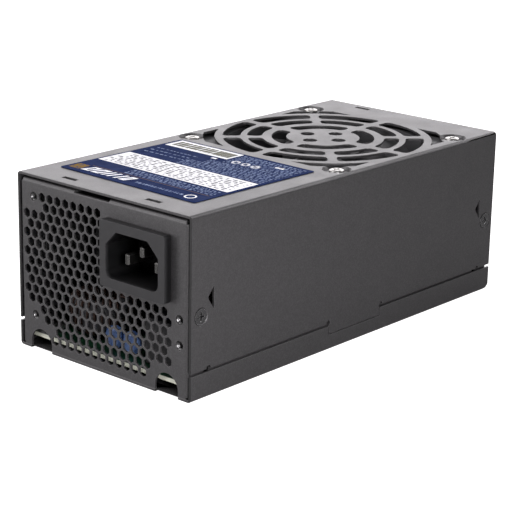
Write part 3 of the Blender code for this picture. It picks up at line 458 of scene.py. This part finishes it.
def inlet_plastic():
    """Moulded plastic, near black from just behind its front face inwards: painted shade inside the mouth
    and along the housing's sides.
    """
    plastic = Finish("inlet_plastic", (0.010, 0.010, 0.011), 0.42, Specular_IOR_Level=0.38)
    across = plastic.add("ShaderNodeSeparateXYZ")
    plastic.link(plastic.place, across.inputs["Vector"])
    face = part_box("inlet_housing")[0].y
    # painted shade: pale front face, fading to near black from 0.3 to 1.6 mm behind it
    painted_shade_by_depth = plastic.remap(across.outputs["Y"], face + 0.3 * MM, face + 1.6 * MM, 1.0, 0.0)
    pale = plastic.colours(plastic.noise(5.0, 3.0), (0.019, 0.019, 0.020), (0.028, 0.028, 0.029))
    plastic.colour(plastic.colours(painted_shade_by_depth, (0.003, 0.003, 0.0033), pale))
    plastic.roughness(plastic.remap(plastic.noise(3.5), 0.3, 0.7, 0.38, 0.48))
    plastic.bump(plastic.noise(0.35), 0.014)
    return plastic.material


def wire_skin(name, colour):
    return moulded(name, colour, 0.42, 0.8)


def make_materials():
    # the rims given to the dark screws and the contacts are painted highlights along their edges
    nickel, painted_edge_highlight = (0.10, 0.10, 0.095), (0.95, 0.94, 0.91)
    return {
        "powder_coat": powder_coat(),
        "label_film": label_film(),
        "dark_screw": plated("dark_screw", (0.12, 0.12, 0.122), 0.30, rim=(0.80, 0.80, 0.80), edge=0.22),
        "bright_screw": plated("bright_screw", (0.50, 0.49, 0.47), 0.30),
        "inlet_plastic": inlet_plastic(),
        "nickel_contact": plated("nickel_contact", nickel, 0.40, (1, 0.2, 1), painted_edge_highlight, 0.3),
        "fan_plastic": moulded("fan_plastic", (0.045, 0.045, 0.047), 0.55),
        "shaft_steel": plated("shaft_steel", (0.60, 0.60, 0.60), 0.25, (1, 1, 6)),
        "bearing_bronze": plated("bearing_bronze", (0.62, 0.42, 0.20), 0.42),
        "ferrite": ferrite(),
        "copper_winding": enamelled_copper(),
        "brass_post": plated("brass_post", (0.70, 0.50, 0.22), 0.30, (1, 1, 5)),
        "board_laminate": laminate(),
        "insulation_film": insulation_film(),
        "heatsink_aluminium": plated("heatsink_aluminium", (0.74, 0.75, 0.76), 0.36, (5, 5, 0.4)),
        "capacitor_sleeve": sleeve("capacitor_sleeve", (0.02, 0.02, 0.024), (0.035, 0.035, 0.045)),
        "blue_epoxy": sleeve("blue_epoxy", (0.17, 0.28, 0.56), (0.02, 0.05, 0.18), 0.18),
        "yellow_tape": winding_tape(),
        "capacitor_box": moulded("capacitor_box", (0.012, 0.012, 0.013), 0.50),
        "semiconductor_epoxy": moulded("semiconductor_epoxy", (0.02, 0.02, 0.021), 0.50),
        "fuse_glass": fuse_glass(),
        "socket_plastic": moulded("socket_plastic", (0.022, 0.022, 0.023), 0.36),
        "blue_wire": wire_skin("blue_wire", (0.02, 0.08, 0.45)),
        "brown_wire": wire_skin("brown_wire", (0.16, 0.06, 0.02)),
        "green_wire": wire_skin("green_wire", (0.05, 0.38, 0.07)),
        "black_wire": wire_skin("black_wire", (0.02, 0.02, 0.02)),
    }


# ---------------------------------------------------------------- mesh helpers
def new_piece(name, bm):
    mesh = bpy.data.meshes.new(name)
    bm.to_mesh(mesh)
    bm.free()
    piece = bpy.data.objects.new(name, mesh)
    bpy.context.scene.collection.objects.link(piece)
    return piece


def dress(piece, body, material):
    piece.data.materials.append(material)
    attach(piece, body)
    return piece


def edge_shading():
    """Geometry nodes that shade smoothly across shallow edges and keep steep ones crisp."""
    group = bpy.data.node_groups.new("edge_shading", "GeometryNodeTree")
    group.interface.new_socket("Mesh", in_out="INPUT", socket_type="NodeSocketGeometry")
    group.interface.new_socket("Mesh", in_out="OUTPUT", socket_type="NodeSocketGeometry")
    start = group.nodes.new("NodeGroupInput")
    end = group.nodes.new("NodeGroupOutput")
    angle = group.nodes.new("GeometryNodeInputMeshEdgeAngle")
    steep = group.nodes.new("FunctionNodeCompare")
    steep.operation = "GREATER_THAN"
    steep.inputs[1].default_value = SHARP_EDGE
    normals = group.nodes.new("GeometryNodeSetMeshNormal")
    normals.mode = "SHARPNESS"
    normals.inputs["Remove Custom"].default_value = True
    group.links.new(angle.outputs["Unsigned Angle"], steep.inputs[0])
    group.links.new(start.outputs[0], normals.inputs["Mesh"])
    group.links.new(steep.outputs[0], normals.inputs["Edge Sharpness"])
    group.links.new(normals.outputs[0], end.inputs[0])
    return group


def soften(piece, shading, width=0.12):
    """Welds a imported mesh, merges its flat triangles and rounds its edges a little."""
    weld = piece.modifiers.new("weld", "WELD")
    weld.merge_threshold = 1e-6
    flat = piece.modifiers.new("flat_faces", "DECIMATE")
    flat.decimate_type = "DISSOLVE"
    flat.angle_limit = math.radians(0.5)
    if width:
        bevel = piece.modifiers.new("edge_radius", "BEVEL")
        bevel.width = width * MM
        bevel.segments = 2
        bevel.limit_method = "ANGLE"
        bevel.angle_limit = SHARP_EDGE
        bevel.use_clamp_overlap = False
    shade = piece.modifiers.new("shading", "NODES")
    shade.node_group = shading
    weighted = piece.modifiers.new("weighted_normals", "WEIGHTED_NORMAL")
    weighted.keep_sharp = True


def add_prism(bm, outline, low, high):
    """A closed outline of (x, y), extruded from height low to height high, in metres."""
    bottom = [bm.verts.new((x, y, low)) for x, y in outline]
    top = [bm.verts.new((x, y, high)) for x, y in outline]
    bm.faces.new(bottom[::-1])
    bm.faces.new(top)
    for i in range(len(outline)):
        j = (i + 1) % len(outline)
        bm.faces.new((bottom[i], bottom[j], top[j], top[i]))


def add_box(bm, low, high):
    size = Vector(high) - Vector(low)
    place = Matrix.Translation((Vector(low) + Vector(high)) / 2) @ Matrix.Diagonal((*size, 1.0))
    bmesh.ops.create_cube(bm, size=1.0, matrix=place)


def arc(centre, radius, start, end, steps):
    points = []
    for step in range(steps + 1):
        angle = math.radians(start + (end - start) * step / steps)
        points.append((centre[0] + radius * math.cos(angle), centre[1] + radius * math.sin(angle)))
    return points


def rounded_rectangle(width, height, radius, steps=4):
    points = []
    for x, y, start in ((1, -1, -90), (1, 1, 0), (-1, 1, 90), (-1, -1, 180)):
        centre = (x * (width / 2 - radius), y * (height / 2 - radius))
        points += arc(centre, radius, start, start + 90, steps)
    return points


def add_turned(bm, profile, place, steps=32, closed=True):
    """A profile of (radius, height) turned about local Z; a closed one is a ring's section."""
    rings = []
    for radius, height in profile:
        ring = []
        for step in range(steps):
            angle = 2 * math.pi * step / steps
            point = Vector((radius * math.cos(angle), radius * math.sin(angle), height))
            ring.append(bm.verts.new(place @ point))
        rings.append(ring)
    pairs = list(zip(rings, rings[1:]))
    if closed:
        pairs.append((rings[-1], rings[0]))
    for near, far in pairs:
        for i in range(steps):
            j = (i + 1) % steps
            bm.faces.new((near[i], near[j], far[j], far[i]))
    if not closed:
        bm.faces.new(rings[0][::-1])
        bm.faces.new(rings[-1])


def smooth(piece, degrees=35):
    piece.data.shade_smooth()
    piece.data.set_sharp_from_angle(angle=math.radians(degrees))
    return piece


def middle_of(node):
    low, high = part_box(node)
    return (low + high) / 2


# ---------------------------------------------------------------- label
def words_row(bm, place, span, height, words, spaces, chance):
    """A row of printed dashes, like words too small to read, from one u to another at one v."""
    u, u_high, v = span
    while u < u_high:
        end = min(u + chance.uniform(*words), u_high)
        if end - u > 0.15:
            add_mark(bm, place, [(u, v), (end, v), (end, v + height), (u, v + height)])
        u = end + chance.uniform(*spaces)


def add_mark(bm, place, outline, layer=0):
    """Ink in an outline of (u, v), measured in millimetres from the label's lower left corner."""
    low = LABEL_THICK + layer * PRINT_THICK
    half_u, half_v = LABEL_SIZE[0] / 2, LABEL_SIZE[1] / 2
    points = [place @ Vector(((u - half_u) * MM, (v - half_v) * MM, 0)) for u, v in outline]
    top = place.translation.z + (low + PRINT_THICK) * MM
    bottom = place.translation.z + low * MM
    add_prism(bm, [(point.x, point.y) for point in points], bottom, top)


def make_label(materials):
    """The film, and its print as thin raised pieces: panels, strokes, bars, dashes and a badge."""
    low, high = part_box("rating_label")
    place = Matrix.Translation(((low.x + high.x) / 2, (low.y + high.y) / 2, low.z))
    place = place @ Matrix.Rotation(math.radians(LABEL_TURN), 4, "Z")
    chance = random.Random(7)

    bm = bmesh.new()
    outline = rounded_rectangle(LABEL_SIZE[0] * MM, LABEL_SIZE[1] * MM, LABEL_CORNER * MM)
    add_prism(bm, outline, 0.0, LABEL_THICK * MM)
    bmesh.ops.transform(bm, matrix=place, verts=bm.verts)
    film = smooth(new_piece("label_film_sheet", bm))
    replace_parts(dress(film, "case", materials["label_film"]), "rating_label")

    def rectangle(u_low, v_low, u_high, v_high):
        return [(u_low, v_low), (u_high, v_low), (u_high, v_high), (u_low, v_high)]

    def ring(bm, u, v, inner, outer):
        near, far = (arc((u, v), radius, 0, 337.5, 15) for radius in (inner, outer))
        for i in range(16):
            j = (i + 1) % 16
            add_mark(bm, place, [near[i], far[i], far[j], near[j]])

    white = bmesh.new()
    add_mark(white, place, rectangle(1.0, 17.5, 65.8, 33.2))
    add_mark(white, place, rectangle(1.5, 51.0, 33.5, 60.4))
    foot, head = STROKE_SPAN
    for u, width in STROKE_GROUPS:
        strokes = [(foot, head, 0.0, STROKE_WIDTH)]
        if width:
            strokes.append((foot, head, width, width + STROKE_WIDTH))
            strokes += [(low_v, low_v + 1.0, STROKE_WIDTH, width) for low_v in (foot, head - 1.0)]
        for v_low, v_high, start, end in strokes:
            low_u, high_u = (u + (v - foot) * STROKE_SLANT for v in (v_low, v_high))
            outline = [(low_u + start, v_low), (low_u + end, v_low)]
            outline += [(high_u + end, v_high), (high_u + start, v_high)]
            add_mark(white, place, outline)
    for number in range(3):
        ring(white, 39.0 + number * 4.8, 50.2, 0.9, 1.8)
    add_mark(white, place, rectangle(28.0, 48.3, 30.4, 49.6))
    add_mark(white, place, rectangle(54.0, 54.5, 58.0, 56.2))
    ring(white, 61.0, 4.6, 1.7, 2.3)
    dress(new_piece("label_white_print", white), "case", printed("white_print", (0.94, 0.95, 0.97), 0.08))

    bars = bmesh.new()
    for number in range(13):
        u = 3.3 + number * 2.25
        slab = (1.7, 1.9, 1.5)[number % 3] if number < 9 else 2.1
        add_mark(bars, place, rectangle(u, 52.7, u + slab, 58.7), 1)
    dress(new_piece("label_code_bars", bars), "case", printed("olive_print", (0.19, 0.19, 0.15), 0.15))

    faint = bmesh.new()
    for number in range(8):
        v = 18.6 + number * 1.75
        start = chance.uniform(1.8, 6.0)
        words_row(faint, place, (start, 64.5, v), 0.75, (0.7, 3.4), (0.5, 2.2), chance)
    dress(new_piece("label_faint_print", faint), "case", printed("grey_print", (0.27, 0.30, 0.40), 0.10))

    pale = bmesh.new()
    for rows, v, step, start, end, height, words, spaces in SMALL_PRINT:
        for number in range(rows):
            words_row(pale, place, (start, end, v + number * step), height, words, spaces, chance)
    dress(new_piece("label_small_print", pale), "case", printed("pale_print", (0.24, 0.30, 0.45), 0.75, 1.8))

    badge = bmesh.new()
    add_mark(badge, place, rectangle(1.4, 2.6, 6.9, 8.6))
    dress(new_piece("label_badge", badge), "case", printed("amber_print", (0.24, 0.145, 0.02), 0.85, 1.0))
    line = bmesh.new()
    add_mark(line, place, rectangle(7.0, 9.3, 65.0, 9.7))
    dress(new_piece("label_rule", line), "case", printed("brown_print", (0.13, 0.09, 0.07), 0.20))


# ---------------------------------------------------------------- inlet panel
def make_threaded_collars():
    """Bright threads inside the four fixing holes, with the lead-in chamfer that catches the light."""
    panel_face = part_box("base_chassis")[0].y
    tapped = plated("tapped_steel", (0.20, 0.20, 0.20), 0.40)
    profile = [(THREAD_OUTER, CHAMFER_DEPTH), (THREAD_ROOT, 0.0)]
    for turn in range(THREAD_TURNS):
        height = FIRST_CREST + turn * THREAD_PITCH
        profile += [(THREAD_CREST, height), (THREAD_ROOT, height + THREAD_PITCH / 2)]
    back = FIRST_CREST + THREAD_TURNS * THREAD_PITCH
    profile += [(THREAD_CREST, back), (THREAD_OUTER, back)]
    for number, (x, z) in enumerate(FIXING_HOLES, 1):
        bm = bmesh.new()
        spot = (x * MM, panel_face + THREAD_SET_BACK * MM, z * MM)
        place = Matrix.Translation(spot) @ AXIS_TURNS["Y"]
        add_turned(bm, [(radius * MM, height * MM) for radius, height in profile], place, 28)
        bmesh.ops.recalc_face_normals(bm, faces=bm.faces)
        collar = smooth(new_piece(f"fixing_thread_{number}", bm), 50)
        dress(collar, "case", tapped)


# ---------------------------------------------------------------- output sockets
def make_socket_details(materials):
    """Cell walls between the contacts, and a plated sleeve on each contact."""
    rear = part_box("base_chassis")[1].y
    floor = rear - CELL_DEPTH * MM
    wall = CELL_WALL / 2 * MM
    for node, columns in (
        ("main_power_socket", 12),
        ("processor_power_socket", 4),
        ("graphics_power_socket", 4),
        ("drive_power_socket", 3),
    ):
        centre = middle_of(node)
        name = node.replace("_power_socket", "")
        half_x = columns * CONTACT_PITCH / 2
        cells = bmesh.new()
        for column in range(1, columns):
            x = centre.x + (column * CONTACT_PITCH - half_x) * MM
            add_box(
                cells,
                (x - wall, floor, centre.z - CONTACT_PITCH * MM),
                (x + wall, rear - CELL_RECESS * MM, centre.z + CONTACT_PITCH * MM),
            )
        add_box(
            cells,
            (centre.x - half_x * MM, floor, centre.z - wall),
            (centre.x + half_x * MM, rear - MIDDLE_RECESS * MM, centre.z + wall),
        )
        piece = new_piece(name + "_socket_cells", cells)
        dress(piece, "case", materials["socket_plastic"])

        sleeves = bmesh.new()
        for column in range(columns):
            x = centre.x + ((column + 0.5) * CONTACT_PITCH - half_x) * MM
            for z in (centre.z - CONTACT_PITCH / 2 * MM, centre.z + CONTACT_PITCH / 2 * MM):
                add_contact(sleeves, x, floor, z)
        piece = new_piece(name + "_socket_contacts", sleeves)
        dress(piece, "case", materials["nickel_contact"])


def add_contact(bm, x, floor, z):
    """A square plated pin with a tapered tip."""
    half, tip = CONTACT_HALF * MM, CONTACT_TIP_HALF * MM
    straight, whole = CONTACT_LENGTHS
    rings = []
    for depth, reach in ((0.0, half), (straight, half), (whole, tip)):
        y = floor + depth * MM
        corners = ((-1, -1), (1, -1), (1, 1), (-1, 1))
        rings.append([bm.verts.new((x + a * reach, y, z + b * reach)) for a, b in corners])
    for near, far in zip(rings, rings[1:]):
        for i in range(4):
            j = (i + 1) % 4
            bm.faces.new((near[i], far[i], far[j], near[j]))
    bm.faces.new(rings[0])
    bm.faces.new(rings[-1][::-1])


# ---------------------------------------------------------------- wound parts
def wound_choke(node, hole, turns, wire, axis, materials):
    """A ring core with one layer of enamelled wire wound through it."""
    low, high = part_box(node)
    centre = (low + high) / 2
    size = high - low
    thick, outer = (size.z, size.x / 2) if axis == "Z" else (size.y, size.x / 2)
    place = Matrix.Translation(centre) @ AXIS_TURNS[axis]
    inner = hole * MM
    gauge = wire * MM
    middle = (inner + outer) / 2
    reach_r = (outer - inner) / 2 - gauge
    reach_z = thick / 2 - gauge

    core = bmesh.new()
    section = []
    for r, z in rounded_rectangle(2 * (reach_r - gauge), 2 * (reach_z - gauge), 1.2 * MM, 3):
        section.append((middle + r, z))
    add_turned(core, section, place, 40)
    bmesh.ops.recalc_face_normals(core, faces=core.faces)
    ring = smooth(new_piece(node + "_core", core), 50)
    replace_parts(dress(ring, "case", materials["ferrite"]), node)

    curve = bpy.data.curves.new(node + "_wire", "CURVE")
    curve.dimensions = "3D"
    curve.bevel_depth = gauge
    curve.bevel_resolution = 2
    curve.use_fill_caps = True
    spline = curve.splines.new("POLY")
    per_turn = 14
    count = turns * per_turn
    spline.points.add(count)
    for step, point in enumerate(spline.points):
        around = math.radians(6 + 348 * step / count)
        within = 2 * math.pi * step / per_turn
        cosine, sine = math.cos(within), math.sin(within)
        r = middle + reach_r * math.copysign(abs(cosine) ** 0.6, cosine)
        z = reach_z * math.copysign(abs(sine) ** 0.6, sine)
        point.co = (*(place @ Vector((r * math.cos(around), r * math.sin(around), z))), 1.0)
    coil = bpy.data.objects.new(node + "_wire", curve)
    bpy.context.scene.collection.objects.link(coil)
    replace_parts(dress(coil, "case", materials["copper_winding"]), node)


def make_wound_parts(materials):
    wound_choke("line_filter_choke", 5.5, 26, 0.55, "Z", materials)
    wound_choke("correction_choke", 7.0, 38, 0.5, "Y", materials)
    wound_choke("output_choke", 4.0, 18, 0.6, "Z", materials)


# ---------------------------------------------------------------- capacitors
def make_capacitor_tops(materials):
    """Bare aluminium tops, scored in a cross so that they can vent, inside the sleeve's turned rim."""
    nodes = ["bulk_capacitor"] + [f"output_capacitor_{number}" for number in (1, 2, 3)]
    for node in nodes:
        low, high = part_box(node)
        radius = (high.x - low.x) / 2
        centre = Vector(((low.x + high.x) / 2, (low.y + high.y) / 2, high.z))
        bm = bmesh.new()
        score = 0.03 * radius
        inset = radius - CAN_RIM[0][0] * MM
        for quarter in range(4):
            start = math.degrees(math.asin(score / inset))
            wedge = arc((0, 0), inset, start, 90 - start, 8) + [(score, score)]
            turn = Matrix.Rotation(math.radians(90 * quarter + 45), 4, "Z")
            outline = [(turn @ Vector((x, y, 0))).xy for x, y in wedge]
            placed = [(point.x + centre.x, point.y + centre.y) for point in outline]
            add_prism(bm, placed, centre.z, centre.z + 0.12 * MM)
        top = new_piece(node + "_top", bm)
        dress(top, "case", materials["heatsink_aluminium"])
        rim = bmesh.new()
        lip = [(radius - inward * MM, height * MM) for inward, height in CAN_RIM]
        add_turned(rim, lip, Matrix.Translation(centre), 36)
        bmesh.ops.recalc_face_normals(rim, faces=rim.faces)
        turned = smooth(new_piece(node + "_rim", rim), 50)
        dress(turned, "case", materials["capacitor_sleeve"])


# ---------------------------------------------------------------- whole
def finish_cad_nodes(materials):
    shading = edge_shading()
    for row in frame["record"]["subparts"]:
        piece = frame["nodes"][row["node"]]
        piece.data.materials.clear()
        piece.data.materials.append(materials[row["material_slot"]])
        fine = row["material_slot"] in ("nickel_contact", "dark_screw", "bright_screw")
        soften(piece, shading, 0.06 if fine else 0.12)


def main():
    make_camera()
    make_stage()
    materials = make_materials()
    finish_cad_nodes(materials)
    make_label(materials)
    make_threaded_collars()
    make_socket_details(materials)
    make_wound_parts(materials)
    make_capacitor_tops(materials)


main()
